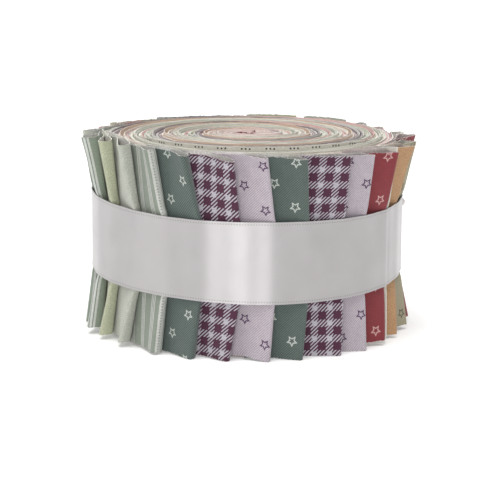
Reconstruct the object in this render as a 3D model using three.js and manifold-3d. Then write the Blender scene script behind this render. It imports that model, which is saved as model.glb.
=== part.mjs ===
import * as THREE from 'three';
import { mergeVertices } from 'three/addons/utils/BufferGeometryUtils.js';
import Module from 'manifold-3d';

// Jelly roll: thirty cotton strips, each folded in half, wound together and tied with a ribbon.
// Millimetres, +Z up. The origin is the centre of the base, and the front of the roll faces -Y.
// Angles are in degrees round the roll, from the front, growing to the right.

// Cloth
const STRIP_WIDTH = 63.5;
const SHEET = 1.0;
const SLIT = 0.3;
const FOLDED = 2 * SHEET + SLIT;
const GAP = 0.3;

// Roll: the waist under the ribbon is drawn in, and the rim and the foot flare
const WAIST_RADIUS = 49.8;
const WAIST_LOW = 17;
const WAIST_HIGH = 48;
const FLARE_HEIGHTS = [0, 8.5, WAIST_LOW, WAIST_HIGH, 56, STRIP_WIDTH];
const FLARE_SHARES = [1, 0.66, 0, 0, 0.66, 1];
const CORE_FLARE = 2.4;
const STEP_WAIST = FOLDED + GAP;
const STEP_FLARE_FRONT = 0.55;
const STEP_FLARE_SIDE = 1.3;
const TUCK_SHARE = 0.5;
const TUCK_LIMIT = 12;
const CORE_TOP = 63.5;

// Section of a folded end: steps along each layer, and where the loop at the fold starts to open
const LEG_STEPS = 4;
const LOOP_START = 0.25;

// Spiral groove in the wound top
const SPIRAL_PITCH = 7;
const SPIRAL_FIRST_RADIUS = 5;
const SPIRAL_TURNS = 4.8;
const SPIRAL_STEPS_PER_TURN = 22;
const GROOVE_HALF_WIDTH = 0.8;
const GROOVE_DEPTH = 0.9;

// Ribbon: 25 mm wide, a little tilted, its end overlapped and pinned at the right
const RIBBON_WIDTH = 25.4;
const RIBBON_THICKNESS = 1.0;
const RIBBON_CENTRE = 32.6;
const RIBBON_TILT = 2.2;
const RIBBON_LOW_SIDE = 27;
const RIBBON_END = 97;
const RIBBON_OVERLAP = 21;
const RIBBON_RISE_START = 22;
const RIBBON_RISE_END = 3;
const RIBBON_STEP = 6;
const RIBBON_INNER = WAIST_RADIUS + GAP;
const RIBBON_LAP_RISE = RIBBON_THICKNESS + GAP;
const PIN_HEAD_RADIUS = 1.4;
const PIN_ANGLE = 101;
const PIN_BELOW_EDGE = 5;

// Folded ends that the front shows: fold is the folded edge's angle at the ribbon, rim and foot are
// its shift in degrees at the rim and the foot, low and high are the cut edges' heights, and open
// is how far the loop at the fold stands open at the rim.
const FRONT_ENDS = [
  { fold: -69.1, rim: 2.4, foot: -1.6, low: 2.2, high: 65.6, open: 1.6, fabric: 'stripe' },
  { fold: -56.5, rim: -0.8, foot: -4.9, low: 1.5, high: 64.9, open: 1.8, fabric: 'celery' },
  { fold: -43.0, rim: -2.5, foot: -5.1, low: 1.6, high: 64.8, open: 1.8, fabric: 'sage' },
  { fold: -29.8, rim: -4.1, foot: -2.1, low: 0.7, high: 64.4, open: 1.2, fabric: 'line' },
  { fold: -16.1, rim: -4.6, foot: -2.2, low: 0.1, high: 63.9, open: 0.8, fabric: 'green' },
  { fold: -2.0, rim: -2.3, foot: -3.7, low: 0.1, high: 62.4, open: 1.0, fabric: 'gingham' },
  { fold: 10.2, rim: -2.9, foot: -1.9, low: 0.1, high: 62.8, open: 1.0, fabric: 'lilac' },
  { fold: 22.5, rim: -1.7, foot: -2.7, low: 0.1, high: 62.7, open: 0.8, fabric: 'green' },
  { fold: 36.9, rim: -0.2, foot: -2.2, low: 0.2, high: 62.7, open: 1.0, fabric: 'gingham' },
  { fold: 47.6, rim: -0.3, foot: -1.4, low: 0.2, high: 62.5, open: 1.0, fabric: 'lilac' },
  { fold: 60.0, rim: -0.6, foot: -3.4, low: 1.6, high: 62.6, open: 1.0, fabric: 'red' },
  { fold: 63.2, rim: -0.4, foot: -3.2, low: 1.6, high: 63.2, open: 0.4, fabric: 'cream' },
  { fold: 72.5, rim: 5.8, foot: -3.0, low: 1.2, high: 62.4, open: 1.3, fabric: 'tan' },
  { fold: 86.0, rim: 2.0, foot: -2.0, low: 1.6, high: 62.4, open: 1.5, fabric: 'olive' },
];

// The back repeats the same kind of pleats, nearly evenly spaced. Each other value is a mean and
// the most that an end departs from it.
const BACK_FABRICS = [
  'red', 'cream', 'rose', 'lilac', 'pink', 'sage', 'cream', 'celery',
  'sage', 'line', 'blue', 'cream', 'celery', 'pink', 'sage', 'stripe',
];
const BACK_LAST_GAP = 15.5;
const BACK_WANDER = 1.2;
const BACK_RANGES = {
  rim: [0, 1.5],
  foot: [0, 1.5],
  low: [0.9, 0.8],
  high: [63.3, 0.5],
  open: [1.1, 0.5],
};

// Mean colour of each printed cotton
const FABRICS = {
  stripe: 0xc9cdc4,
  celery: 0xcfd5b6,
  sage: 0xc3c8b8,
  line: 0xa6afa3,
  green: 0x5f7068,
  gingham: 0x8f6e86,
  lilac: 0xcabdc8,
  red: 0x8a3b44,
  cream: 0xd9c7bf,
  tan: 0xb8946e,
  olive: 0xa59c80,
  blue: 0x9fa5a8,
  rose: 0xc58f8f,
  pink: 0xd8bdb9,
};

const TURN = 360;

// A fixed, repeatable wander between -1 and 1
function wander(index, salt) {
  return Math.sin(2.4 * index * (1 + 0.1 * salt) + 1.7 * salt);
}

function backEnds() {
  const first = FRONT_ENDS.at(-1).fold;
  const last = FRONT_ENDS[0].fold + TURN - BACK_LAST_GAP;
  const pitch = (last - first) / BACK_FABRICS.length;
  return BACK_FABRICS.map((fabric, i) => {
    const end = { fold: first + pitch * (i + 1) + BACK_WANDER * wander(i, 1), fabric };
    Object.entries(BACK_RANGES).forEach(([name, [mean, spread]], order) => {
      end[name] = mean + spread * wander(i, order + 2);
    });
    return end;
  });
}

const ENDS = [...FRONT_ENDS, ...backEnds()];
const COUNT = ENDS.length;

// The angle of folded edge number k at the ribbon, counted on round the roll
function foldAngle(k) {
  const lap = Math.floor(k / COUNT);
  return ENDS[k - lap * COUNT].fold + lap * TURN;
}

// Where strip end k comes out of the wound roll, under its left neighbour
function rootAngle(k) {
  const before = foldAngle(k - 1);
  return before - TUCK_SHARE * Math.min(before - foldAngle(k - 2), TUCK_LIMIT);
}

// How many folded edges lie to the left of an angle, in whole numbers and shares
function edgeCount(angle) {
  let k = -COUNT;
  while (foldAngle(k + 1) <= angle) k += 1;
  return k + (angle - foldAngle(k)) / (foldAngle(k + 1) - foldAngle(k));
}

// The same count smoothed, so that a narrow end makes no steep step
const EASE_OFFSETS = [-16, -8, 0, 8, 16];

function easedCount(angle) {
  const counts = EASE_OFFSETS.map((offset) => edgeCount(angle + offset));
  return counts.reduce((sum, count) => sum + count, 0) / counts.length;
}

// Share of the full flare at a height: none at the waist, all of it at the rim and the foot
function flare(z) {
  const last = FLARE_HEIGHTS.length - 1;
  let i = 0;
  while (i < last - 1 && z > FLARE_HEIGHTS[i + 1]) i += 1;
  const share = (z - FLARE_HEIGHTS[i]) / (FLARE_HEIGHTS[i + 1] - FLARE_HEIGHTS[i]);
  return FLARE_SHARES[i] + share * (FLARE_SHARES[i + 1] - FLARE_SHARES[i]);
}

const radians = THREE.MathUtils.degToRad;
const degreesOfArc = (length, radius) => THREE.MathUtils.radToDeg(length / radius);

// Radial room from one strip end to the next: more at the rim, and more at the sides
function stepHeight(angle, z) {
  const side = Math.abs(Math.sin(radians(angle)));
  const extra = STEP_FLARE_FRONT + (STEP_FLARE_SIDE - STEP_FLARE_FRONT) * side;
  return STEP_WAIST + extra * flare(z);
}

// Steps of radius between the wound roll's lowest surface and the outermost fold
const STEPS_DEEP = Math.max(...ENDS.map((end, k) => easedCount(end.fold) - k));
const CORE_RADIUS = WAIST_RADIUS - FOLDED - GAP - STEP_WAIST * (2 + STEPS_DEEP);

// Inside radius of strip end k at an angle and height
function innerRadius(k, angle, z) {
  const steps = easedCount(angle) - k + 2;
  return CORE_RADIUS + CORE_FLARE * flare(z) + GAP + stepHeight(angle, z) * steps;
}

function place(angle, radius, z) {
  const a = radians(angle);
  return new THREE.Vector3(radius * Math.sin(a), -radius * Math.cos(a), z);
}

// One closed body from rings of points, lowest first, each ring anticlockwise seen from above
function loft(rings) {
  const count = rings[0].length;
  const points = rings.flat();
  const outline = rings[0].map((p) => new THREE.Vector2(p.x, p.y));
  const faces = [];
  for (const [a, b, c] of THREE.ShapeUtils.triangulateShape(outline, [])) faces.push(a, c, b);
  for (let level = 0; level < rings.length - 1; level += 1) {
    for (let i = 0; i < count; i += 1) {
      const a = level * count + i;
      const b = level * count + ((i + 1) % count);
      faces.push(a, b, b + count, a, b + count, a + count);
    }
  }
  const top = (rings.length - 1) * count;
  const lid = rings.at(-1).map((p) => new THREE.Vector2(p.x, p.y));
  for (const [a, b, c] of THREE.ShapeUtils.triangulateShape(lid, [])) {
    faces.push(top + a, top + b, top + c);
  }
  const geometry = new THREE.BufferGeometry().setFromPoints(points);
  geometry.setIndex(faces);
  return geometry;
}

// Section of one folded end at a height: out along the outer layer, round the fold, back along
// the inner layer, and the slit between the two layers
function endSection(k, z) {
  const end = ENDS[k];
  const share = flare(z);
  const lean = (z > STRIP_WIDTH / 2 ? end.rim : end.foot) * share;
  const before = ENDS[(k + COUNT - 1) % COUNT];
  const beforeLean = (z > STRIP_WIDTH / 2 ? before.rim : before.foot) * share;
  const tip = end.fold + lean;
  const uncovered = foldAngle(k - 1) + Math.max(beforeLean, 0);
  const open = end.open * share;
  const bend = degreesOfArc((FOLDED + open) / 2, WAIST_RADIUS);
  const root = rootAngle(k);
  const legEnd = tip - bend;
  const loopFrom = uncovered + LOOP_START * (legEnd - uncovered);
  const stations = Array.from({ length: LEG_STEPS + 1 }, (_, i) => {
    const angle = root + ((legEnd - root) * i) / LEG_STEPS;
    const swell = THREE.MathUtils.clamp((angle - loopFrom) / (legEnd - loopFrom), 0, 1);
    const inner = innerRadius(k, angle, z);
    return { angle, inner, outer: inner + FOLDED + open * swell * swell };
  });
  const last = stations.at(-1);
  const middle = (last.inner + last.outer) / 2;
  const half = (last.outer - last.inner) / 2;
  const quarter = half * Math.SQRT1_2;
  const along = (length) => degreesOfArc(length, WAIST_RADIUS);
  const back = [...stations].reverse();
  return [
    ...stations.map((s) => place(s.angle, s.outer, z)),
    place(legEnd + along(quarter), middle + quarter, z),
    place(legEnd + along(half), middle, z),
    place(legEnd + along(quarter), middle - quarter, z),
    ...back.map((s) => place(s.angle, s.inner, z)),
    ...stations.map((s) => place(s.angle, s.inner + SHEET, z)),
    place(legEnd + along(half - SHEET), middle, z),
    ...back.map((s) => place(s.angle, s.outer - SHEET, z)),
  ];
}

function stripEnd(k) {
  const { low, high } = ENDS[k];
  const heights = [low, ...FLARE_HEIGHTS.slice(1, -1), high];
  return loft(heights.map((z) => endSection(k, z)));
}

// Outline of the wound roll at a height: a shallow step down where each strip end comes out
function coreSection(z) {
  const points = [];
  for (let k = 0; k < COUNT; k += 1) {
    const from = rootAngle(k) - degreesOfArc(GAP, CORE_RADIUS);
    const to = rootAngle(k + 1) - degreesOfArc(GAP, CORE_RADIUS);
    for (const share of [0, 0.5, 1]) {
      const angle = from + (to - from) * share;
      points.push(place(angle, innerRadius(k, angle, z) - GAP, z));
    }
  }
  return points;
}

// A long wedge along a spiral in the top face, which cuts the groove between the main turns
function spiralWedge() {
  const corners = [
    [-GROOVE_HALF_WIDTH, GAP],
    [0, -GROOVE_DEPTH],
    [GROOVE_HALF_WIDTH, GAP],
  ];
  const steps = Math.round(SPIRAL_TURNS * SPIRAL_STEPS_PER_TURN);
  const positions = [];
  for (let i = 0; i <= steps; i += 1) {
    const turns = i / SPIRAL_STEPS_PER_TURN;
    const radius = SPIRAL_FIRST_RADIUS + SPIRAL_PITCH * turns;
    for (const [across, up] of corners) {
      positions.push(place(turns * TURN, radius + across, CORE_TOP + up));
    }
  }
  const faces = [0, 1, 2];
  for (let i = 0; i < steps; i += 1) {
    for (let side = 0; side < 3; side += 1) {
      const a = 3 * i + side;
      const b = 3 * i + ((side + 1) % 3);
      faces.push(a, a + 3, b + 3, a, b + 3, b);
    }
  }
  const end = 3 * steps;
  faces.push(end, end + 2, end + 1);
  const geometry = new THREE.BufferGeometry().setFromPoints(positions);
  geometry.setIndex(faces);
  return geometry;
}

const wasm = await Module();
wasm.setup();

function toSolid(geometry) {
  const bare = geometry.clone();
  bare.deleteAttribute('normal');
  bare.deleteAttribute('uv');
  const merged = mergeVertices(bare, 1e-4);
  const mesh = new wasm.Mesh({
    numProp: 3,
    vertProperties: Float32Array.from(merged.attributes.position.array),
    triVerts: Uint32Array.from(merged.index.array),
  });
  return new wasm.Manifold(mesh);
}

function toGeometry(solid) {
  const mesh = solid.getMesh();
  const geometry = new THREE.BufferGeometry();
  geometry.setAttribute('position', new THREE.BufferAttribute(mesh.vertProperties, 3));
  geometry.setIndex(new THREE.BufferAttribute(mesh.triVerts, 1));
  return geometry;
}

function woundRoll() {
  const heights = [...FLARE_HEIGHTS.slice(0, -1), CORE_TOP];
  const body = toSolid(loft(heights.map(coreSection)));
  return toGeometry(body.subtract(toSolid(spiralWedge())));
}

// Height of the ribbon's middle line
function ribbonHeight(angle) {
  return RIBBON_CENTRE - RIBBON_TILT * Math.cos(radians(angle - RIBBON_LOW_SIDE));
}

// Inside radius along the ribbon, rising where it passes over its own first end
function ribbonStations() {
  const length = TURN + RIBBON_OVERLAP;
  const steps = Math.round(length / RIBBON_STEP);
  return Array.from({ length: steps + 1 }, (_, i) => {
    const run = (length * i) / steps;
    const rise = THREE.MathUtils.smoothstep(run, TURN - RIBBON_RISE_START, TURN - RIBBON_RISE_END);
    const angle = RIBBON_END + RIBBON_OVERLAP - run;
    return { angle, inner: RIBBON_INNER + RIBBON_LAP_RISE * rise };
  });
}

function ribbon() {
  const stations = ribbonStations().reverse();
  const back = [...stations].reverse();
  const rings = [-RIBBON_WIDTH / 2, RIBBON_WIDTH / 2].map((offset) => [
    ...stations.map((s) => place(s.angle, s.inner + RIBBON_THICKNESS, ribbonHeight(s.angle) + offset)),
    ...back.map((s) => place(s.angle, s.inner, ribbonHeight(s.angle) + offset)),
  ]);
  return loft(rings);
}

function cloth(colour) {
  return new THREE.MeshStandardMaterial({ color: colour, roughness: 0.9, metalness: 0 });
}

function addPiece(group, name, geometry, material) {
  const mesh = new THREE.Mesh(geometry, material);
  mesh.name = name;
  group.add(mesh);
  return mesh;
}

const jellyRoll = new THREE.Group();
addPiece(jellyRoll, 'wound_roll', woundRoll(), cloth(0xc9c3b8));
ENDS.forEach((end, k) => {
  const name = `strip_end_${String(k + 1).padStart(2, '0')}`;
  addPiece(jellyRoll, name, stripEnd(k), cloth(FABRICS[end.fabric]));
});

const satin = new THREE.MeshStandardMaterial({ color: 0xdedcdb, roughness: 0.4, metalness: 0 });
addPiece(jellyRoll, 'ribbon', ribbon(), satin);

const pearl = new THREE.MeshStandardMaterial({ color: 0xd8d5d2, roughness: 0.3, metalness: 0 });
const pinHead = new THREE.SphereGeometry(PIN_HEAD_RADIUS, 12, 8);
const pin = addPiece(jellyRoll, 'pin_head', pinHead, pearl);
const pinRadius = RIBBON_INNER + RIBBON_LAP_RISE + RIBBON_THICKNESS + GAP + PIN_HEAD_RADIUS;
const pinHeight = ribbonHeight(PIN_ANGLE) + RIBBON_WIDTH / 2 - PIN_BELOW_EDGE;
pin.position.copy(place(PIN_ANGLE, pinRadius, pinHeight));

export default jellyRoll;
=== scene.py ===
import math

import bpy
import numpy as np
from mathutils import Matrix, Vector


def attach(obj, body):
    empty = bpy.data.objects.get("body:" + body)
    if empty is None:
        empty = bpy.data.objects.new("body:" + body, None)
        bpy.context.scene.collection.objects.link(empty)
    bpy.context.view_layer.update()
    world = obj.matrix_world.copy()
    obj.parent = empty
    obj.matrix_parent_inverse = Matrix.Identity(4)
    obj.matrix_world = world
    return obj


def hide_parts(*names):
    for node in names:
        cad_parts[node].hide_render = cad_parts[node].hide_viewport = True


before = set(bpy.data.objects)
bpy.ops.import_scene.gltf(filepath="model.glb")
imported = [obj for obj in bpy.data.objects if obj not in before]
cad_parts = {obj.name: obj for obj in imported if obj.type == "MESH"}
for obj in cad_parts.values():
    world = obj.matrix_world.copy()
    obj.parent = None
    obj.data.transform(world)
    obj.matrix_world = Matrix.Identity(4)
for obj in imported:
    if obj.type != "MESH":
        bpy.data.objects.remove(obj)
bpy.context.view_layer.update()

# Jelly roll: thirty cotton strips folded in half, wound together and held by a satin ribbon.
# Sizes are in millimetres, and meshes are written in metres. Angles are in degrees round the
# roll from the front, growing to the right; the front faces -Y.

MM = 0.001
TURN = 360.0
RNG = np.random.default_rng(63)

# Camera, read from the photograph: 612 mm in front of the roll's axis
PHOTO_SIZE = 500
FOCAL_PIXELS = 1880
CAMERA_AT = (1.1, -612.0, 145.7)
CAMERA_PITCH = 0.195
CAMERA_ROLL = 0.007

# Cloth
STRIP_WIDTH = 63.5
CLOTH = 0.24
TURN_CLOTH = 0.19
LEG_SPACING = 0.29
TURN_LEG_SPACING = 0.235
END_STEP = 0.62
TURN_STEP = 0.47

# Roll
WAIST_RADIUS = 47.4
RIM_FLARE = 1.0
SPLAY_FRONT = 0.4
SPLAY_SIDE_RIM = 2.3
SPLAY_SIDE_FOOT = 1.2
SPLAY_DEPTH = 0.8
END_STRIPS_DEEP = 2.0
LOOP_WAIST = 3.2
CORE_EMPTY_RADIUS = 2.0
CORE_SLIT_RADIUS = 3.1
CORE_DIP = 0.6
FRONT_THIN = 1.5

# Ribbon
RIBBON_WIDTH = 25.4
RIBBON_CLOTH = 0.3
RIBBON_RADIUS = 50.95
RIBBON_SLACK = 0.08
RIBBON_DIP = 0.2
RIBBON_CENTRE = 32.6
RIBBON_TILT = 2.2
RIBBON_LOW_SIDE = 27.0
RIBBON_END = 97.0
RIBBON_OVERLAP = 21.0
PIN_ANGLE = 101.0
PIN_BELOW_EDGE = 5.0

# Folded ends in view. fold is the folded edge's angle at the ribbon; rim and foot are its shift
# in degrees at the rim and the foot; low and high are the heights of the cut edges at the fold;
# rise_low and rise_high lift those edges at the left of what shows; open is the width of the loop
# at the rim; slip is how far the inner leg stands higher than the outer one; star is where one star
# of the print lies, from the fold and up from the foot.
END_FIELDS = (
    "fold", "rim", "foot", "low", "high", "rise_low", "rise_high", "open", "slip", "star", "fabric",
)
FRONT_ROWS = [
    (-69.1, 2.0, -1.6, 2.2, 65.0, -0.6, -1.0, 5.3, 0.4, (0, 0), "stripe"),
    (-56.5, -0.8, -4.9, 1.5, 64.8, 0.2, 0.3, 4.4, 0.9, (0, 0), "celery"),
    (-43.0, -2.5, -5.1, 1.6, 64.8, 0.2, 0.8, 4.6, 1.0, (0, 0), "sage"),
    (-29.8, -4.1, -2.1, 0.7, 64.4, 0.4, 0.0, 4.2, 0.4, (0, 0), "line"),
    (-16.1, -4.6, -2.2, 0.1, 63.1, 0.4, 1.1, 3.9, 0.8, (-4.3, 13.4), "green"),
    (-2.0, -2.3, -3.7, 0.1, 61.9, 0.4, 1.5, 4.0, 1.0, (-1.7, -0.1), "gingham"),
    (10.2, -2.9, -1.9, 0.1, 63.1, 1.1, 0.7, 4.3, 0.6, (-3.5, 5.0), "lilac"),
    (22.5, -1.7, -2.7, 0.1, 62.5, 0.2, 0.5, 4.1, 0.8, (-5.4, 5.7), "green"),
    (36.9, -0.2, -2.2, 0.2, 62.8, 0.0, 0.2, 4.3, 0.4, (-3.3, -1.8), "gingham"),
    (47.6, -0.3, -1.4, 0.2, 62.2, -0.1, 0.2, 4.2, 0.6, (-3.2, 11.4), "lilac"),
    (60.0, -0.6, -3.4, 1.8, 62.0, -0.6, 0.2, 4.0, 1.6, (-5.2, 3.4), "red"),
    (63.2, -0.4, -3.2, 1.8, 63.0, 0.0, 0.0, 3.7, 0.8, (0, 0), "cream"),
    (72.5, 5.8, -3.0, 1.2, 61.6, 0.0, 0.6, 4.2, 1.2, (0, 0), "tan"),
    (86.0, 2.0, -2.0, 1.6, 62.0, 0.0, 0.0, 4.4, 0.8, (-5.0, 4.0), "olive"),
]
FRONT_ENDS = [dict(zip(END_FIELDS, row)) for row in FRONT_ROWS]
BACK_FABRICS = [
    "red", "cream", "rose", "lilac", "pink", "sage", "cream", "celery",
    "sage", "line", "blue", "cream", "celery", "pink", "sage", "stripe",
]
BACK_WANDER = 1.2
FIRST_OPEN = 1.8
BACK_HIGH_AT = (0, 2, 4, 13, 15)
BACK_HIGH = (62.6, 62.6, 63.5, 63.4, 63.4)
LAST_GAP = 15.5


def wander(index, salt):
    return math.sin(2.4 * index * (1 + 0.1 * salt) + 1.7 * salt)


def back_ends():
    first = FRONT_ENDS[-1]["fold"]
    last = FRONT_ENDS[0]["fold"] + TURN - LAST_GAP
    pitch = (last - first) / len(BACK_FABRICS)
    return [
        dict(
            fold=first + pitch * (i + 1) + BACK_WANDER * wander(i, 1),
            rim=1.5 * wander(i, 2),
            foot=1.5 * wander(i, 3),
            low=0.9 + 0.8 * wander(i, 4),
            high=float(np.interp(i, BACK_HIGH_AT, BACK_HIGH)) + 0.25 * wander(i, 5),
            rise_low=0.4 * wander(i, 8),
            rise_high=0.4 * wander(i, 7),
            open=4.2 + 0.6 * wander(i, 6) + FIRST_OPEN * (i == 0),
            slip=0.3 + 0.3 * wander(i, 12),
            star=(4 * wander(i, 10), 7 * wander(i, 11)),
            fabric=fabric,
        )
        for i, fabric in enumerate(BACK_FABRICS)
    ]


ENDS = FRONT_ENDS + back_ends()
COUNT = len(ENDS)

# Folded edges counted on round the roll, over enough turns for the whole spiral
LAPS = np.arange(-6, 3)
EDGE_ANGLES = np.concatenate([[end["fold"] + lap * TURN for end in ENDS] for lap in LAPS])
EDGE_NUMBERS = np.concatenate([np.arange(COUNT) + lap * COUNT for lap in LAPS])


def fold_angle(k):
    return float(np.interp(k, EDGE_NUMBERS, EDGE_ANGLES))


def edge_count(angle):
    """How many folded edges lie to the left of an angle, smoothed so no end makes a steep step."""
    return np.mean(
        [np.interp(angle + d, EDGE_ANGLES, EDGE_NUMBERS) for d in (-16, -8, 0, 8, 16)], axis=0
    )


def ribbon_centre(angle):
    return RIBBON_CENTRE - RIBBON_TILT * np.cos(np.radians(angle - RIBBON_LOW_SIDE))


# Flare: a quick bulge just past the ribbon's edge, then a nearly straight slope to the cut edge
BULGE_SHARE = 0.16
BULGE_LENGTH = 1.3
SLOPE_LENGTH = 18.0


def flare(angle, z):
    """Share of the full flare: none under the ribbon, all of it at the cut edges."""
    past = np.abs(z - ribbon_centre(angle)) - RIBBON_WIDTH / 2
    past = np.maximum(past, 0)
    bulge = BULGE_SHARE * (1 - np.exp(-past / BULGE_LENGTH))
    return bulge + (1 - BULGE_SHARE) * (past / SLOPE_LENGTH) ** 1.1


def front(angle):
    """1 at the front of the roll, falling to 0 at its sides and back."""
    return ((1 + np.cos(np.radians(angle))) / 2) ** 4


def loop_waist(angle):
    """Width of the loop at a fold, under the ribbon: the front pleats are the flattest."""
    return LOOP_WAIST - FRONT_THIN * float(front(angle))


# Waves of the whole rim: size, number round the roll and start
RIM_WAVES = ((0.5, 7, 0.6), (0.35, 17, 2.1), (0.3, 31, 0.0))
WOBBLE = 0.35


def wobble(angle, share):
    """A slight waviness of the whole rim, the same for every layer, so none cuts another."""
    a = np.radians(angle)
    wave = sum(size * np.sin(count * a + start) for size, count, start in RIM_WAVES)
    return WOBBLE * wave * share**1.5


def strip_radius(k, angle, z):
    """Radius of strip k's inner leg, counted in strips below the outermost fold."""
    deep = edge_count(angle) - k
    near = np.maximum(deep, -END_STRIPS_DEEP)
    base = WAIST_RADIUS + END_STEP * near + TURN_STEP * (deep - near)
    share = flare(angle, z)
    side = np.abs(np.sin(np.radians(angle))) ** 1.5
    widest = np.where(z > STRIP_WIDTH / 2, SPLAY_SIDE_RIM, SPLAY_SIDE_FOOT)
    splay = SPLAY_FRONT + (widest - SPLAY_FRONT) * side
    relative = np.clip(base / WAIST_RADIUS, 0, None)
    spread = RIM_FLARE * share * relative**2 + splay * share * np.exp(deep / SPLAY_DEPTH)
    filled = FRONT_THIN * front(angle) * np.clip(1 - share, 0, 1) + wobble(angle, share)
    return base + spread + filled * relative**6


def place(angle, radius, z):
    a = np.radians(angle)
    return np.stack([radius * np.sin(a), -radius * np.cos(a), z + 0 * a], axis=-1)


# Meshes

# Thin cut edges stay crisp while the cloth's faces are smooth
SHARP_ANGLE = math.radians(50)


class MeshParts:
    """Vertices, faces, flat cloth coordinates and finish numbers of one mesh in the making."""

    def __init__(self):
        self.points = []
        self.faces = []
        self.cloth = []
        self.finish = []
        self.tint = []
        self.count = 0

    def add_sheet(self, middle, thickness, cloth, tint=(1, 1, 1, 1), finishes=(0, 1, 2)):
        """A thin closed sheet round a grid of middle points, columns by rows upwards."""
        along = np.gradient(middle, axis=0)
        up = np.gradient(middle, axis=1)
        normal = np.cross(along, up)
        normal /= np.maximum(np.linalg.norm(normal, axis=2, keepdims=True), 1e-9)
        columns, rows = middle.shape[:2]
        front = np.arange(columns * rows).reshape(columns, rows) + self.count
        back = front + columns * rows
        self.points.append((middle + normal * thickness / 2).reshape(-1, 3))
        self.points.append((middle - normal * thickness / 2).reshape(-1, 3))
        self.cloth.append(np.tile(cloth.reshape(-1, 2), (2, 1)))
        shades = np.broadcast_to(np.asarray(tint, float), (columns, 4))
        self.tint.append(np.tile(np.repeat(shades, rows, axis=0), (2, 1)))
        self.count += 2 * columns * rows
        a, b = front, back
        quads = [
            (finishes[0], a[:-1, :-1], a[1:, :-1], a[1:, 1:], a[:-1, 1:]),
            (finishes[1], b[:-1, :-1], b[:-1, 1:], b[1:, 1:], b[1:, :-1]),
            (finishes[2], a[:-1, 0], b[:-1, 0], b[1:, 0], a[1:, 0]),
            (finishes[2], a[:-1, -1], a[1:, -1], b[1:, -1], b[:-1, -1]),
            (finishes[2], a[0, :-1], a[0, 1:], b[0, 1:], b[0, :-1]),
            (finishes[2], a[-1, :-1], b[-1, :-1], b[-1, 1:], a[-1, 1:]),
        ]
        for finish, *corners in quads:
            faces = np.stack([c.reshape(-1) for c in corners], axis=1)
            self.faces.append(faces)
            self.finish.append(np.full(len(faces), finish))

    def build(self, name, materials):
        points = np.concatenate(self.points) * MM
        faces = np.concatenate(self.faces)
        mesh = bpy.data.meshes.new(name)
        mesh.from_pydata(points.tolist(), [], faces.tolist())
        mesh.polygons.foreach_set("material_index", np.concatenate(self.finish).astype(np.int32))
        mesh.polygons.foreach_set("use_smooth", np.ones(len(faces), bool))
        corner = np.empty(len(mesh.loops), np.int32)
        mesh.loops.foreach_get("vertex_index", corner)
        flat = mesh.uv_layers.new(name="cloth")
        flat.data.foreach_set("uv", np.concatenate(self.cloth)[corner].astype(np.float32).ravel())
        tint = mesh.attributes.new("tint", "FLOAT_COLOR", "POINT")
        tint.data.foreach_set("color", np.concatenate(self.tint).astype(np.float32).ravel())
        mesh.update()
        for material in materials:
            mesh.materials.append(material)
        piece = bpy.data.objects.new(name, mesh)
        bpy.context.scene.collection.objects.link(piece)
        mesh.set_sharp_from_angle(angle=SHARP_ANGLE)
        return piece


# Strip ends

LOOP_COLUMNS = 10
LEG_COLUMNS = 36
END_ROWS = 44
ROOT_LAP = 0.4
ROOT_SHARE = 0.9
ROOT_REACH = 12.0
NOSE_SHARE = 0.30
NOSE_POWER = 2.7
FRAY = 0.07
SLIP_LENGTH = 1.5


def row_shares():
    """Rows up the strip, closer together towards both cut edges."""
    t = np.linspace(0, 1, END_ROWS)
    return 0.55 * t + 0.45 * (0.5 - 0.5 * np.cos(np.pi * t))


def end_columns(loop, reach):
    """Distances behind the fold, from the root to the fold, with half-widths of the loop there."""
    turn = np.linspace(0, np.pi / 2, LOOP_COLUMNS)
    nose = NOSE_SHARE * loop
    near = nose * (1 - np.cos(turn)) ** 1.6
    far = nose + (reach - nose) * np.linspace(0, 1, LEG_COLUMNS) ** 1.2
    return np.concatenate([near[:-1], far])


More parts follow.
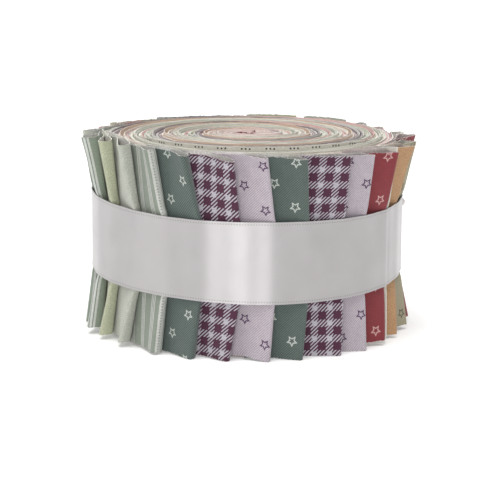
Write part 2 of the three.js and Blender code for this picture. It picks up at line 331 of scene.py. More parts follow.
def end_sheet(k):
    """Middle points and flat cloth coordinates of strip end k, from its outer leg's root round
    the fold to its inner leg's root."""
    end = ENDS[k]
    shares = row_shares()
    fold = end["fold"]
    left = fold_angle(k - 1)
    waist = loop_waist(fold)
    root = leg_root(k) + ROOT_LAP
    fray = RNG.normal(0, FRAY, (2, 2 * (LOOP_COLUMNS + LEG_COLUMNS)))
    legs = {+1: [], -1: []}
    for share in shares:
        z_mid = end["low"] + (end["high"] - end["low"]) * share
        part = float(flare(fold, z_mid))
        lean = (end["rim"] if share > 0.5 else end["foot"]) * part
        loop = waist + (end["open"] - waist) * part
        nose = NOSE_SHARE * loop
        tip = fold + lean
        reach = np.radians(tip - root) * WAIST_RADIUS
        shown = max(np.radians(tip - left) * WAIST_RADIUS, 2.0)
        back = end_columns(loop, reach)
        angle = tip - np.degrees(back / WAIST_RADIUS)
        left_share = np.clip(back / shown, 0, 1)
        rise = end["rise_low"] + (end["rise_high"] - end["rise_low"]) * share
        z = z_mid + rise * left_share
        tail = (1 - (back - nose) / (shown - nose)).clip(0, 1) ** 1.15
        width = LEG_SPACING + (loop - LEG_SPACING) * tail
        ahead = (1 - back / nose).clip(0, 1)
        round_off = (1 - ahead**NOSE_POWER) ** (1 / NOSE_POWER)
        for side in legs:
            level = z + end["slip"] * (1 - np.exp(-back / SLIP_LENGTH)) * (side < 0)
            centre = strip_radius(k, angle, level) + width / 2
            legs[side].append(place(angle, centre + side * width / 2 * round_off, level))
    outer = np.array(legs[+1]).transpose(1, 0, 2)[::-1]
    inner = np.array(legs[-1]).transpose(1, 0, 2)[1:]
    middle = np.concatenate([outer, inner])
    for row, sign in ((0, 0), (-1, 1)):
        middle[:, row, 2] += fray[sign][: len(middle)]
    middle[:, :, 2] = np.maximum(middle[:, :, 2], 0.05)
    step = np.linalg.norm(np.diff(middle, axis=0), axis=2)
    along = np.concatenate([np.zeros((1, len(shares))), np.cumsum(step, axis=0)])
    along -= along[len(outer) - 1]
    height = shares * (end["high"] - end["low"]) + np.zeros_like(along)
    star = end["star"]
    return middle, np.stack([along - star[0], height - star[1]], axis=2)


def strip_end(k):
    middle, cloth = end_sheet(k)
    parts = MeshParts()
    parts.add_sheet(middle, CLOTH, cloth)
    name = f"end_{k + 1:02d}"
    piece = parts.build(name, fabric_finishes(ENDS[k]["fabric"]))
    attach(piece, "root")
    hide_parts(f"strip_end_{k + 1:02d}")
    return piece


# Wound turns: every strip's two legs run on in a spiral to the middle of the roll

TURN_DEGREES = 5.0
TURN_TOP = 63.5
FRONT_SINK = 1.3
SINK_EASE = 0.6
TURN_ROWS = np.array([0.0, 0.27, 0.73, 1.0])
TURN_GROUPS = {"turns_a": range(0, 10), "turns_b": range(10, 20), "turns_c": range(20, 30)}

# Across the front one dotted cream strip stands above the turns outside it
BAND_STRIP = 25
BAND_START = 80.0
BAND_STOP = -85.0
BAND_EASE = 30.0
BAND_RISE = 1.35
BAND_FINER = 3
INNER_LEG_RISE = 0.6

# Rows of dots: how far under the cut edge, and their shift along the strip
DOTS_BELOW = 0.7
DOTS_ALONG = 3.75

# Heights of the strips' cut edges against each other, as they slipped in winding
STRIP_LIFT = 0.65 * np.array([wander(k, 9) + 0.6 * wander(3 * k, 4) for k in range(COUNT)])

# Slow and quick waves along a cut edge: size in millimetres, and rate against the angle
EDGE_WAVES = ((0.22, 0.8), (0.12, 2.3), (0.05, 9.0))
SETTLE_RUN = 1.5
LOW_EDGE = 0.55
LIFT_SPREAD = 0.18

# The middle of the roll is pressed a little flat, wider from side to side
PRESS_RADIUS = 13.0
PRESS_WIDER = 0.28
PRESS_FLATTER = 0.30


def squeeze(points):
    radius = np.linalg.norm(points[..., :2], axis=-1)
    press = np.exp(-((radius / PRESS_RADIUS) ** 2))
    points[..., 0] *= 1 + PRESS_WIDER * press
    points[..., 1] *= 1 - PRESS_FLATTER * press
    return points


def leg_root(k):
    """Where strip k's legs pass under the ends of the strips to its left."""
    left = fold_angle(k - 1)
    return left - ROOT_SHARE * min(left - fold_angle(k - 2), ROOT_REACH) - ROOT_LAP


def wound_radius(k, angle):
    """Strip k's radius halfway up the roll."""
    return strip_radius(k, np.asarray(angle), STRIP_WIDTH / 2)


def leg_angles(k, start, stop=None):
    """Angles from a start down to a stop, or down to the empty core, on even multiples."""
    angles = [start]
    angle = math.ceil(start / TURN_DEGREES - 1) * TURN_DEGREES
    while angle > stop if stop is not None else wound_radius(k, angle) > CORE_EMPTY_RADIUS:
        angles.append(angle)
        angle -= TURN_DEGREES
    if stop is not None:
        angles.append(stop)
    return np.array(angles)


def sunk(k, angles):
    """How far the turns outside the raised band have sunk at the front, behind the pleats."""
    wrapped = (angles + TURN / 2) % TURN - TURN / 2
    outside = wound_radius(k, angles) - wound_radius(BAND_STRIP, wrapped)
    return FRONT_SINK * front(angles) ** 0.5 * np.clip(outside / SINK_EASE, 0, 1)


def core_dip(k, angles):
    """The innermost turns lie lower at the front, so the far side of the empty core shows."""
    near = np.exp(-((wound_radius(k, angles) / CORE_SLIT_RADIUS) ** 4))
    return CORE_DIP * front(angles) * near


def turn_sheet(k, leg, rng, angles, raised=0.0):
    """One leg of a wound strip between two angles, with flat cloth coordinates and length."""
    run = np.radians(leg_root(k) - angles)
    phase = rng.uniform(0, 2 * np.pi, 4)
    drift = sum(size * np.sin(rate * run + start) for (size, rate), start in zip(EDGE_WAVES, phase))
    settle = np.clip(run / SETTLE_RUN, 0, 1)
    lift = STRIP_LIFT[k] + LIFT_SPREAD * rng.normal()
    top = TURN_TOP - sunk(k, angles) - core_dip(k, angles) + raised
    top = top + (lift + drift) * settle * (k != BAND_STRIP)
    low = LOW_EDGE + 0.25 * np.sin(1.1 * run + phase[3]) + 0.15 * rng.uniform()
    z = low[:, None] + (top - low)[:, None] * TURN_ROWS
    angle_grid = angles[:, None] + np.zeros_like(z)
    spacing = TURN_LEG_SPACING if leg > 0 else 0.0
    middle = place(angle_grid, strip_radius(k, angle_grid, z) + spacing, z)
    middle[:, -1, 2] += rng.normal(0, 0.05, len(angles))
    middle = squeeze(middle)
    step = np.linalg.norm(np.diff(middle[:, 1], axis=0), axis=1)
    along = np.concatenate([[0], np.cumsum(step)])
    across = z - top[:, None] + DOTS_BELOW
    cloth = np.stack([along[:, None] + DOTS_ALONG + 0 * z, across], axis=2)
    if leg > 0:
        return middle[::-1], cloth[::-1], along[-1]
    return middle, cloth, along[-1]


def wound_tint(k, angles):
    """A strip's colour along a leg, and how pale it looks: pale pink near the core, and dark red
    round the empty core, partly the red cloth there and partly painted shade in the core's opening."""
    fabric = ENDS[k]["fabric"]
    radius = wound_radius(k, angles)
    fade = np.exp(-((radius / CORE_PINK_RADIUS) ** 4))[:, None]
    # Round the empty core the colour turns dark red: painted shade of the core's opening, on red
    # cloth
    slit_shade = np.exp(-((radius / CORE_SLIT_RADIUS) ** 8))[:, None]
    own = np.array([*FABRICS[fabric]["colour"], WOUND_PALENESS.get(fabric, 1.0)])
    tint = (1 - fade) * own + fade * np.array([*CORE_PINK, 1.0])
    return (1 - slit_shade) * tint + slit_shade * np.array([*CORE_SHADED_RED, CORE_SHADED_RED_PALENESS])


def wound_turns(name, members):
    rng = np.random.default_rng(len(name) + members[0])
    parts = MeshParts()
    for k in members:
        runs = [leg_angles(k, leg_root(k))]
        if k == BAND_STRIP:
            runs = [leg_angles(k, leg_root(k), BAND_START), leg_angles(k, BAND_STOP)]
        for angles in runs:
            for leg in (+1, -1):
                middle, cloth, run = turn_sheet(k, leg, rng, angles)
                tint = wound_tint(k, angles[::-1] if leg > 0 else angles)
                parts.add_sheet(middle, TURN_CLOTH, cloth, tint)
    piece = parts.build(name, turn_finishes())
    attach(piece, "root")
    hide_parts("wound_roll")
    return piece


def raised_band():
    rng = np.random.default_rng(BAND_STRIP)
    parts = MeshParts()
    angles = leg_angles(BAND_STRIP, BAND_START, BAND_STOP)
    fine = np.linspace(angles[0], angles[-1], BAND_FINER * len(angles))
    inside = np.minimum(BAND_START - fine, fine - BAND_STOP) / BAND_EASE
    rise = BAND_RISE * np.clip(inside, 0, 1)
    for leg, share in ((+1, 1.0), (-1, INNER_LEG_RISE)):
        middle, cloth, run = turn_sheet(BAND_STRIP, leg, rng, fine, share * rise)
        parts.add_sheet(middle, TURN_CLOTH, cloth)
    piece = parts.build("raised_band", fabric_finishes("cream"))
    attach(piece, "root")
    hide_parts("wound_roll")
    return piece


# Ribbon

RIBBON_COLUMNS = 420
RIBBON_ROWS = 22

# The overlapping end climbs over the first layer a little before it, in degrees
LAP_AHEAD = 16
LAP_CLIMB = 14
LAP_LIFT = 0.42

# Near the join the ribbon's lower edge is drawn up
JOIN_ANGLE = 88.0
JOIN_REACH = 26.0
JOIN_LIFT = 1.3


def ridge_radius(k):
    """Radius of strip end k's outer face at its fold, under the ribbon."""
    fold = ENDS[k]["fold"]
    return float(strip_radius(k, np.array(fold), ribbon_centre(fold))) + loop_waist(fold) + CLOTH / 2


def ribbon_radius(angle):
    """The ribbon is drawn from ridge to ridge, nearly straight between two folds."""
    folds = np.array([end["fold"] + lap * TURN for lap in (-1, 0, 1) for end in ENDS])
    ridges = np.array([ridge_radius(k) for k in range(COUNT)] * 3)
    level = np.interp(angle, folds, ridges)
    between = np.interp(angle, folds, np.arange(len(folds)))
    dip = RIBBON_DIP * np.sin(np.pi * between) ** 2
    return level + RIBBON_CLOTH / 2 + RIBBON_SLACK - dip


def satin_ribbon():
    run = np.linspace(0, TURN + RIBBON_OVERLAP, RIBBON_COLUMNS)
    angle = (RIBBON_END + RIBBON_OVERLAP - run)[::-1]
    run = run[::-1]
    across = np.linspace(-1, 1, RIBBON_ROWS)
    over = np.clip((run - (TURN - LAP_AHEAD)) / LAP_CLIMB, 0, 1)
    lap = LAP_LIFT * over**2 * (3 - 2 * over)
    a = angle[:, None] + 0 * across
    z = ribbon_centre(a) + across * RIBBON_WIDTH / 2
    # Its edges stand off the cloth a little, and its width varies by a hair
    edge = 0.10 * np.abs(across) ** 6 + 0.05 * np.sin(np.radians(a * 11)) * across**2
    z = z + 0.12 * np.sin(np.radians(a * 5 + 40)) * across
    drawn = np.exp(-(((a + TURN / 2) % TURN - TURN / 2 - JOIN_ANGLE) / JOIN_REACH) ** 2)
    z = z + JOIN_LIFT * drawn * (1 - across) / 2
    middle = place(a, ribbon_radius(a) + lap[:, None] + edge, z)
    along = np.radians(a + TURN) * RIBBON_RADIUS
    cloth = np.stack([along, (across + 1) * RIBBON_WIDTH / 2 + np.zeros_like(a)], axis=2)
    parts = MeshParts()
    parts.add_sheet(middle, RIBBON_CLOTH, cloth, finishes=(0, 0, 0))
    piece = parts.build("ribbon_band", [satin_material()])
    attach(piece, "root")
    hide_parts("ribbon")
    pearl_pin()
    return piece


# Pin: a small pearl head on a short neck, half sunk in the ribbon's fold

PIN_HEAD = 1.4
PIN_SIDES = 28
PIN_PROUD = 0.82
PIN_PROFILE = [
    (0.0, 1.0), (0.26, 0.97), (0.5, 0.87), (0.71, 0.71), (0.87, 0.5), (0.97, 0.26), (1.0, 0.0),
    (0.96, -0.28), (0.84, -0.54), (0.64, -0.77), (0.4, -0.92), (0.26, -1.02), (0.22, -1.2),
    (0.0, -1.24),
]


def pearl_pin():
    radius = RIBBON_RADIUS + LAP_LIFT + RIBBON_CLOTH / 2 + PIN_HEAD * PIN_PROUD
    height = float(ribbon_centre(PIN_ANGLE)) + RIBBON_WIDTH / 2 - PIN_BELOW_EDGE
    centre = Vector(place(np.array(PIN_ANGLE), radius, height)) * MM
    outward = Vector((centre.x, centre.y, 0)).normalized()
    turn = outward.to_track_quat("Z", "Y").to_matrix()
    points = []
    for r, h in PIN_PROFILE:
        for i in range(PIN_SIDES):
            a = 2 * math.pi * i / PIN_SIDES
            local = Vector((r * math.cos(a), r * math.sin(a), h * 0.92)) * PIN_HEAD * MM
            points.append(centre + turn @ local)
    faces = []
    for j in range(len(PIN_PROFILE) - 1):
        for i in range(PIN_SIDES):
            a, b = j * PIN_SIDES + i, j * PIN_SIDES + (i + 1) % PIN_SIDES
            faces.append((b, a, a + PIN_SIDES, b + PIN_SIDES))
    mesh = bpy.data.meshes.new("pin")
    mesh.from_pydata(points, [], faces)
    mesh.validate()
    mesh.polygons.foreach_set("use_smooth", np.ones(len(mesh.polygons), bool))
    mesh.materials.append(pearl_material())
    piece = bpy.data.objects.new("pin", mesh)
    bpy.context.scene.collection.objects.link(piece)
    weld = piece.modifiers.new("weld", "WELD")
    weld.merge_threshold = 0.00001
    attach(piece, "root")
    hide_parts("pin_head")
    return piece


# Materials


def linear(value):
    return value / 12.92 if value <= 0.04045 else ((value + 0.055) / 1.055) ** 2.4


def colour(text):
    """A #rrggbb screen colour as linear red, green and blue."""
    return tuple(linear(int(text[i : i + 2], 16) / 255) for i in (1, 3, 5))


class Nodes:
    """A material's node tree, with short calls for the kinds of node that the cloth needs."""

    def __init__(self, name):
        self.material = bpy.data.materials.new(name)
        self.material.use_nodes = True
        self.tree = self.material.node_tree
        self.shader = self.tree.nodes["Principled BSDF"]

    def node(self, kind, **settings):
        made = self.tree.nodes.new(kind)
        for key, value in settings.items():
            setattr(made, key, value)
        return made

    def link(self, source, socket):
        if hasattr(source, "is_output"):
            self.tree.links.new(source, socket)
        else:
            socket.default_value = source

    def math(self, operation, *inputs):
        made = self.node("ShaderNodeMath", operation=operation)
        for value, socket in zip(inputs, made.inputs):
            self.link(value, socket)
        return made.outputs[0]

    def mix(self, share, first, second):
        made = self.node("ShaderNodeMix", data_type="RGBA")
        self.link(share, made.inputs["Factor"])
        for value, socket in ((first, made.inputs[6]), (second, made.inputs[7])):
            self.link(value if hasattr(value, "is_output") else (*value, 1), socket)
        return made.outputs[2]

    def multiply(self, base, value):
        """A colour made lighter or darker by a number."""
        made = self.node("ShaderNodeVectorMath", operation="SCALE")
        self.link(base, made.inputs[0])
        self.link(value, made.inputs["Scale"])
        return made.outputs[0]

    def cloth(self):
        """Flat cloth coordinates in millimetres: from the fold, and up from the foot."""
        flat = self.node("ShaderNodeUVMap", uv_map="cloth")
        split = self.node("ShaderNodeSeparateXYZ")
        self.tree.links.new(flat.outputs[0], split.inputs[0])
        return flat.outputs[0], split.outputs[0], split.outputs[1]

    def noise(self, vector, scale, detail=2.0):
        made = self.node("ShaderNodeTexNoise")
        self.link(vector, made.inputs["Vector"])
        made.inputs["Scale"].default_value = scale
        made.inputs["Detail"].default_value = detail
        return made.outputs[0]

    def wave(self, value, pitch):
        """A sine of a length, from 0 to 1 and back once in each pitch."""
        turns = self.math("MULTIPLY", value, 2 * math.pi / pitch)
        return self.math("MULTIPLY_ADD", self.math("SINE", turns), 0.5, 0.5)

    def step(self, value, edge, soft):
        """0 below an edge, 1 above it, with a soft change between."""
        made = self.node("ShaderNodeMapRange", interpolation_type="SMOOTHSTEP")
        self.link(value, made.inputs["Value"])
        made.inputs["From Min"].default_value = edge - soft
        made.inputs["From Max"].default_value = edge + soft
        return made.outputs[0]

    def below(self, value, edge, soft):
        return self.math("SUBTRACT", 1.0, self.step(value, edge, soft))

    def repeat(self, value, pitch):
        return self.math("FLOORED_MODULO", value, pitch)

    def centred(self, value, at, pitch):
        """How far a length is from the nearest of the places that repeat at a pitch."""
        moved = self.math("SUBTRACT", value, at - pitch / 2)
        return self.math("SUBTRACT", self.repeat(moved, pitch), pitch / 2)

    def bump(self, height, strength, distance):
        made = self.node("ShaderNodeBump")
        made.inputs["Strength"].default_value = strength
        made.inputs["Distance"].default_value = distance
        self.link(height, made.inputs["Height"])
        self.link(made.outputs[0], self.shader.inputs["Normal"])

    def finish(self, base, roughness, sheen=0.0):
        self.link(base, self.shader.inputs["Base Color"])
        self.link(roughness, self.shader.inputs["Roughness"])
        self.shader.inputs["Sheen Weight"].default_value = sheen
        self.shader.inputs["Sheen Roughness"].default_value = 0.5
        return self.material


# Sizes of the weave and of the prints
WEAVE_PITCH = 0.42
TWILL_PITCH = 0.78
STAR_RADIUS = 1.45
STAR_WAIST = 0.5
STAR_LINE = 0.18
STAR_REPEAT = (13.2, 13.9)
GINGHAM_PITCH = 4.82
HATCH_PITCH = 1.205
DOTS_REPEAT = (7.5, 5.2)
DOTS_APART = 1.2
DOT_RADIUS = 0.3
STRIPE_AT = -2.3
STRIPE_REPEAT = 9.0
STRIPE_HALF = 2.0
STRIPE_LINES_APART = 1.1
GROUP_AT = -5.4
GROUP_REPEAT = 5.6
GROUP_HALF = 1.15
GROUP_LINES_APART = 0.8


def star_lines(n, u, v):
    """Outline five-pointed stars, one point down, on a half-drop repeat."""
    width, height = STAR_REPEAT
    tip = Vector((STAR_RADIUS, 0))
    notch = Vector((math.cos(math.radians(36)), math.sin(math.radians(36)))) * STAR_WAIST
    notch *= STAR_RADIUS
    side = (notch - tip).normalized()
    normal = Vector((side.y, -side.x))
    lines = []
    for du, dv in ((0, 0), (width / 2, height / 2)):
        x = n.centred(u, du, width)
        y = n.centred(v, dv, height)
        radius = n.math("SQRT", n.math("ADD", n.math("MULTIPLY", x, x), n.math("MULTIPLY", y, y)))
        angle = n.math("ARCTAN2", x, n.math("MULTIPLY", y, -1.0))
        sector = n.repeat(n.math("ADD", angle, math.radians(36)), math.radians(72))
        sector = n.math("ABSOLUTE", n.math("SUBTRACT", sector, math.radians(36)))
        px = n.math("MULTIPLY", radius, n.math("COSINE", sector))
        py = n.math("MULTIPLY", radius, n.math("SINE", sector))
        away = n.math(
            "ADD",
            n.math("MULTIPLY", n.math("SUBTRACT", px, tip.x), normal.x),
            n.math("MULTIPLY", n.math("SUBTRACT", py, tip.y), normal.y),
        )
        line = n.below(n.math("ABSOLUTE", away), STAR_LINE, 0.07)
        near = n.below(radius, STAR_RADIUS + 0.35, 0.1)
        lines.append(n.math("MULTIPLY", line, near))
    return n.math("MAXIMUM", *lines)


def print_stars(n, spec, flat, u, v):
    """A twill-look ground with outline stars."""
    diagonal = n.wave(n.math("SUBTRACT", u, v), TWILL_PITCH)
    ground = n.mix(n.math("MULTIPLY", diagonal, spec["twill"]), spec["colour"], spec["second"])
    return n.mix(star_lines(n, u, v), ground, spec["third"])


def print_gingham(n, spec, flat, u, v):
    """Dark checks, pale checks, and slanted twill lines in between that run a little into both."""
    slant = n.wave(n.math("SUBTRACT", u, v), HATCH_PITCH)
    reach = n.math("MULTIPLY_ADD", slant, 0.5, GINGHAM_PITCH / 4)
    wide = n.math("SUBTRACT", reach, n.math("ABSOLUTE", n.centred(u, 0, GINGHAM_PITCH)))
    tall = n.math("SUBTRACT", reach, n.math("ABSOLUTE", n.centred(v, 0, GINGHAM_PITCH)))
    wide = n.step(wide, 0, 0.08)
    tall = n.step(tall, 0, 0.08)
    both = n.math("MULTIPLY", wide, tall)
    either = n.math("MAXIMUM", wide, tall)
    ink = n.math("MAXIMUM", both, n.math("MULTIPLY", either, n.step(slant, 0.4, 0.12)))
    return n.mix(ink, spec["second"], spec["colour"])


def print_stripe(n, spec, flat, u, v):
    """Broad pale upright bands, each with three thin dark lines."""
    x = n.math("ABSOLUTE", n.centred(u, STRIPE_AT, STRIPE_REPEAT))
    band = n.below(x, STRIPE_HALF, 0.12)
    beside = n.below(n.math("ABSOLUTE", n.math("SUBTRACT", x, STRIPE_LINES_APART)), 0.16, 0.1)
    lines = n.math("MAXIMUM", n.below(x, 0.2, 0.1), beside)
    ground = n.mix(band, spec["colour"], spec["second"])
    return n.mix(lines, ground, spec["third"])


def print_lines(n, spec, flat, u, v):
    """A pale band with a dotted line by the fold, then groups of thin pale upright lines."""
    group = n.below(n.math("ABSOLUTE", n.centred(u, GROUP_AT, GROUP_REPEAT)), GROUP_HALF, 0.1)
    thin = n.step(n.wave(u, GROUP_LINES_APART), 0.5, 0.2)
    ground = n.mix(n.math("MULTIPLY", group, thin), spec["colour"], spec["second"])
    band = n.below(n.math("ABSOLUTE", n.math("ADD", u, 1.0)), 1.0, 0.12)
    ground = n.mix(band, ground, spec["second"])
    row = n.below(n.math("ABSOLUTE", n.math("ADD", u, 1.1)), 0.25, 0.1)
    dots = n.math("MULTIPLY", n.step(n.wave(v, 0.9), 0.5, 0.2), row)
    return n.mix(n.math("MULTIPLY", dots, 0.7), ground, spec["third"])


def print_speckle(n, spec, flat, u, v):
    """A fine mottled print of two near shades."""
    speck = n.step(n.noise(flat, 2.6, 3.0), 0.52, 0.08)
    return n.mix(n.math("MULTIPLY", speck, 0.6), spec["colour"], spec["second"])


def print_dots(n, spec, flat, u, v):
    """Three small dots in a row, well apart."""
    width, height = DOTS_REPEAT
    x = n.centred(u, 0, width)
    y = n.centred(v, 0, height)
    inside = n.below(n.math("ABSOLUTE", x), 1.42 * DOTS_APART, 0.1)
    third = n.centred(x, 0, DOTS_APART)
    spot = n.math("ADD", n.math("MULTIPLY", third, third), n.math("MULTIPLY", y, y))
    ink = n.math("MULTIPLY", n.below(spot, DOT_RADIUS**2, 0.04), inside)
    return n.mix(ink, spec["colour"], spec["second"])


FABRICS = {
    "stripe": dict(print=print_stripe, colour=colour("#939e90"), second=colour("#d3d6d0"),
                   third=colour("#7f8a80")),
    "celery": dict(print=print_speckle, colour=colour("#b3b799"), second=colour("#d0d2bc")),
    "sage": dict(print=print_speckle, colour=colour("#b5b8ac"), second=colour("#d0d1c7")),
    "line": dict(print=print_lines, colour=colour("#8b9386"), second=colour("#cbccc6"),
                 third=colour("#79837a")),
    "green": dict(print=print_stars, colour=colour("#45514c"), second=colour("#6c7a75"),
                  third=colour("#c3c9c2"), twill=0.85),
    "gingham": dict(print=print_gingham, colour=colour("#4d1f39"), second=colour("#bcb7c0")),
    "lilac": dict(print=print_stars, colour=colour("#a89ba6"), second=colour("#d4ccd2"),
                  third=colour("#55375a"), twill=0.85),
    "red": dict(print=print_stars, colour=colour("#802e35"), second=colour("#a14045"),
                third=colour("#d0a5a2"), twill=0.5),
    "cream": dict(print=print_dots, colour=colour("#e8e4d8"), second=colour("#4c4c48")),
    "tan": dict(print=print_speckle, colour=colour("#b98e66"), second=colour("#d3ac83")),
    "olive": dict(print=print_stars, colour=colour("#a39b80"), second=colour("#b9b197"),
                  third=colour("#55503f"), twill=0.5),
    "blue": dict(print=print_speckle, colour=colour("#838e97"), second=colour("#a9b2b8")),
    "rose": dict(print=print_dots, colour=colour("#b67c7e"), second=colour("#ead3cf")),
    "pink": dict(print=print_dots, colour=colour("#d5b3b1"), second=colour("#9e5760")),
}
RAW_THREAD = colour("#ece8e2")
REVERSE_PALENESS = 0.7

# Lightness of the cotton: its lowest level, and what the dye, the threads and the weave add
PRINT_LEVEL = 0.49
# The wound turns, which make the roll's top, start lighter than the folded ends on its sides:
# painted light on the top
WOUND_TOP_LIT_LEVEL = 0.7
PATCH_SHADE = 0.2
GRAIN_SHADE = 0.42
WEAVE_SHADE = 0.08
CORE_PINK = colour("#dfcdcb")
CORE_PINK_RADIUS = 11.0
# Dark red round the empty core: the red cloth there, with painted shade of the core's opening
CORE_SHADED_RED = colour("#6e2c34")
CORE_SHADED_RED_PALENESS = 0.2

# How pale the wound strips look against each other, and how much stronger their hue is
WOUND_PALENESS = {"red": 0.5, "gingham": 0.6, "rose": 0.6, "pink": 0.6, "tan": 1.1, "green": 1.1}
WOUND_SATURATION = 1.65


def cotton_surface(n, base, u, v, flat, level=PRINT_LEVEL):
    """Weave, thick and thin threads, slight unevenness of the dye, and the matt look of cotton."""
    weave = n.math("MULTIPLY", n.wave(u, WEAVE_PITCH), n.wave(v, WEAVE_PITCH))
    patch = n.noise(flat, 0.35, 3.0)
    grain = n.noise(flat, 1.9, 2.0)
    lint = n.noise(flat, 6.0, 2.0)
    shade = n.math("MULTIPLY_ADD", patch, PATCH_SHADE, level)
    shade = n.math("MULTIPLY_ADD", grain, GRAIN_SHADE, shade)
    shade = n.math("MULTIPLY_ADD", weave, WEAVE_SHADE, shade)
    height = n.math("ADD", weave, n.math("MULTIPLY_ADD", lint, 0.8, grain))
    n.bump(height, 0.35, 0.0001)
    roughness = n.math("MULTIPLY_ADD", lint, 0.1, 0.82)
    return n.finish(n.multiply(base, shade), roughness, sheen=0.2)


def printed_cotton(name):
    spec = FABRICS[name]
    n = Nodes(f"print_{name}")
    flat, u, v = n.cloth()
    return cotton_surface(n, spec["print"](n, spec, flat, u, v), u, v, flat)


def reverse_cotton(name):
    """The back of the print: the same shades, much paler."""
    spec = FABRICS[name]
    n = Nodes(f"reverse_{name}")
    flat, u, v = n.cloth()
    pale = n.mix(REVERSE_PALENESS, spec["print"](n, spec, flat, u, v), RAW_THREAD)
    return cotton_surface(n, pale, u, v, flat)


def cut_edge(name):
    """The cut edge: thread ends, part dyed and part raw."""
    n = Nodes(f"edge_{name}")
    flat, u, v = n.cloth()
    threads = n.noise(flat, 5.0, 2.0)
    base = n.mix(n.step(threads, 0.5, 0.12), FABRICS[name]["colour"], RAW_THREAD)
    return n.finish(base, 0.95, sheen=0.3)


FINISHES = {}


def fabric_finishes(name):
    if name not in FINISHES:
        FINISHES[name] = [printed_cotton(name), reverse_cotton(name), cut_edge(name)]
    return FINISHES[name]


def tinted_cotton(name, paleness):
    """Cotton of the colour that the mesh carries, made paler towards raw thread."""
    n = Nodes(name)
    flat, u, v = n.cloth()
    carried = n.node("ShaderNodeAttribute", attribute_name="tint").outputs
    strong = n.node("ShaderNodeHueSaturation")
    strong.inputs["Saturation"].default_value = WOUND_SATURATION
    n.link(carried["Color"], strong.inputs["Color"])
    share = n.math("MULTIPLY_ADD", n.noise(flat, 3.0, 2.0), 0.3, paleness - 0.15)
    share = n.math("MULTIPLY", share, carried["Alpha"])
    base = n.mix(share, strong.outputs[0], RAW_THREAD)
    # The wound turns' higher level is painted light on the roll's top
    return cotton_surface(n, base, u, v, flat, level=WOUND_TOP_LIT_LEVEL)


def turn_finishes():
    if "turns" not in FINISHES:
        FINISHES["turns"] = [
            tinted_cotton("turn_print", 0.48),
            tinted_cotton("turn_reverse", 0.74),
            tinted_cotton("turn_edge", 0.68),
        ]
    return FINISHES["turns"]


def satin_material():
    """White satin with a fine crosswise rib, a dotted selvedge line and a soft gloss."""
    n = Nodes("satin")
    flat, u, v = n.cloth()
    rib = n.wave(v, 0.33)
    cloudy = n.noise(flat, 0.12, 2.0)
    base = n.mix(n.math("MULTIPLY", cloudy, 0.5), colour("#bbb8b9"), colour("#ada9aa"))
    edges = []
    for line in (0.75, RIBBON_WIDTH - 0.75):
        near = n.below(n.math("ABSOLUTE", n.math("SUBTRACT", v, line)), 0.2, 0.12)
        edges.append(n.math("MULTIPLY", near, n.step(n.wave(u, 0.85), 0.5, 0.2)))
    dots = n.math("MAXIMUM", *edges)
    base = n.mix(n.math("MULTIPLY", dots, 0.8), base, colour("#989393"))
    height = n.math("SUBTRACT", n.math("MULTIPLY", rib, 0.3), dots)
    n.bump(height, 0.3, 0.0001)
    material = n.finish(base, n.math("MULTIPLY_ADD", cloudy, 0.1, 0.32))
    n.shader.inputs["Metallic"].default_value = 0.7
    n.shader.inputs["Specular IOR Level"].default_value = 0.6
    n.shader.inputs["Anisotropic"].default_value = 0.85
    n.shader.inputs["Anisotropic Rotation"].default_value = 0.25
    return material


def pearl_material():
    n = Nodes("pearl")
    place_node = n.node("ShaderNodeTexCoord").outputs["Object"]
    cloudy = n.noise(place_node, 900.0, 2.0)
    base = n.mix(n.math("MULTIPLY", cloudy, 0.6), colour("#dcd9d6"), colour("#c9c2c0"))
    material = n.finish(base, n.math("MULTIPLY_ADD", cloudy, 0.1, 0.22))
    n.shader.inputs["Coat Weight"].default_value = 0.4
    return material


def floor_material():
    n = Nodes("floor_paper")
    place_node = n.node("ShaderNodeTexCoord").outputs["Object"]
    cloudy = n.noise(place_node, 3.0, 3.0)
    base = n.mix(n.math("MULTIPLY", cloudy, 0.4), colour("#f8f8f7"), colour("#f3f3f2"))
    away = n.node("ShaderNodeVectorMath", operation="LENGTH")
    n.link(place_node, away.inputs[0])
    far = n.math("MULTIPLY_ADD", away.outputs["Value"], FLOOR_GLOW_RISE, FLOOR_GLOW)
    n.link(n.mix(far, (0, 0, 0), (1, 1, 1)), n.shader.inputs["Emission Color"])
    n.shader.inputs["Emission Strength"].default_value = 1.0
    return n.finish(base, 0.9)


# Stage

FLOOR_HALF = 4.0
FLOOR_CELLS = 8

# The white paper glows a little, and more with each metre from the roll
FLOOR_GLOW = 0.2
FLOOR_GLOW_RISE = 0.22


def floor():
    side = np.linspace(-FLOOR_HALF, FLOOR_HALF, FLOOR_CELLS + 1)
    points = [(x, y, 0.0) for y in side for x in side]
    stride = FLOOR_CELLS + 1
    faces = [
        (a, a + 1, a + stride + 1, a + stride)
        for row in range(FLOOR_CELLS)
        for a in range(row * stride, row * stride + FLOOR_CELLS)
    ]
    mesh = bpy.data.meshes.new("floor")
    mesh.from_pydata(points, [], faces)
    mesh.materials.append(floor_material())
    piece = bpy.data.objects.new("floor", mesh)
    bpy.context.scene.collection.objects.link(piece)


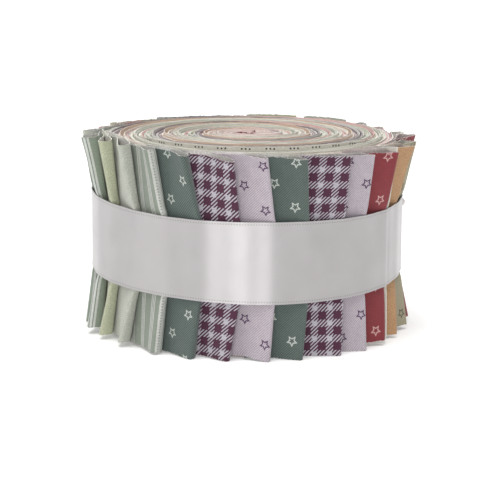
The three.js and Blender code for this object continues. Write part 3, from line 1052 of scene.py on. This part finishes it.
# Lights: elevation and direction in degrees from the front, size and distance in metres
LIGHTS = [
    dict(name="key", direction=-14, elevation=68, distance=2.0, size=(1.2, 1.2), watts=7.5),
    dict(name="left", direction=-75, elevation=35, distance=2.0, size=(1.2, 1.2), watts=7.2),
    dict(name="front", direction=-5, elevation=9, distance=2.0, size=(1.15, 0.6), watts=9.8),
    dict(name="top", direction=0, elevation=88, distance=2.0, size=(1.6, 1.6), watts=34),
]
WORLD_STRENGTH = 0.26


def lights():
    for spec in LIGHTS:
        lamp = bpy.data.lights.new(spec["name"], "AREA")
        lamp.shape = "RECTANGLE"
        lamp.size, lamp.size_y = spec["size"]
        lamp.energy = spec["watts"]
        holder = bpy.data.objects.new(spec["name"], lamp)
        turn, lift = math.radians(spec["direction"]), math.radians(spec["elevation"])
        level = math.cos(lift)
        ray = Vector((math.sin(turn) * level, -math.cos(turn) * level, math.sin(lift)))
        holder.location = ray * spec["distance"]
        holder.rotation_euler = (-ray).to_track_quat("-Z", "Y").to_euler()
        bpy.context.scene.collection.objects.link(holder)
    world = bpy.data.worlds.new("studio")
    world.use_nodes = True
    world.node_tree.nodes["Background"].inputs["Color"].default_value = (1, 1, 1, 1)
    world.node_tree.nodes["Background"].inputs["Strength"].default_value = WORLD_STRENGTH
    bpy.context.scene.world = world
    bpy.context.scene.view_settings.view_transform = "Standard"


def camera():
    lens = bpy.data.cameras.new("view")
    lens.sensor_width = 36.0
    lens.lens = FOCAL_PIXELS / PHOTO_SIZE * lens.sensor_width
    lens.clip_start = 0.05
    holder = bpy.data.objects.new("view", lens)
    tilt = Matrix.Rotation(math.pi / 2 - CAMERA_PITCH, 4, "X")
    holder.matrix_world = (
        Matrix.Translation(Vector(CAMERA_AT) * MM) @ tilt @ Matrix.Rotation(CAMERA_ROLL, 4, "Z")
    )
    bpy.context.scene.collection.objects.link(holder)
    bpy.context.scene.camera = holder


camera()
lights()
floor()
for turns_name, strips in TURN_GROUPS.items():
    wound_turns(turns_name, strips)
raised_band()
for number in range(COUNT):
    strip_end(number)
satin_ribbon()
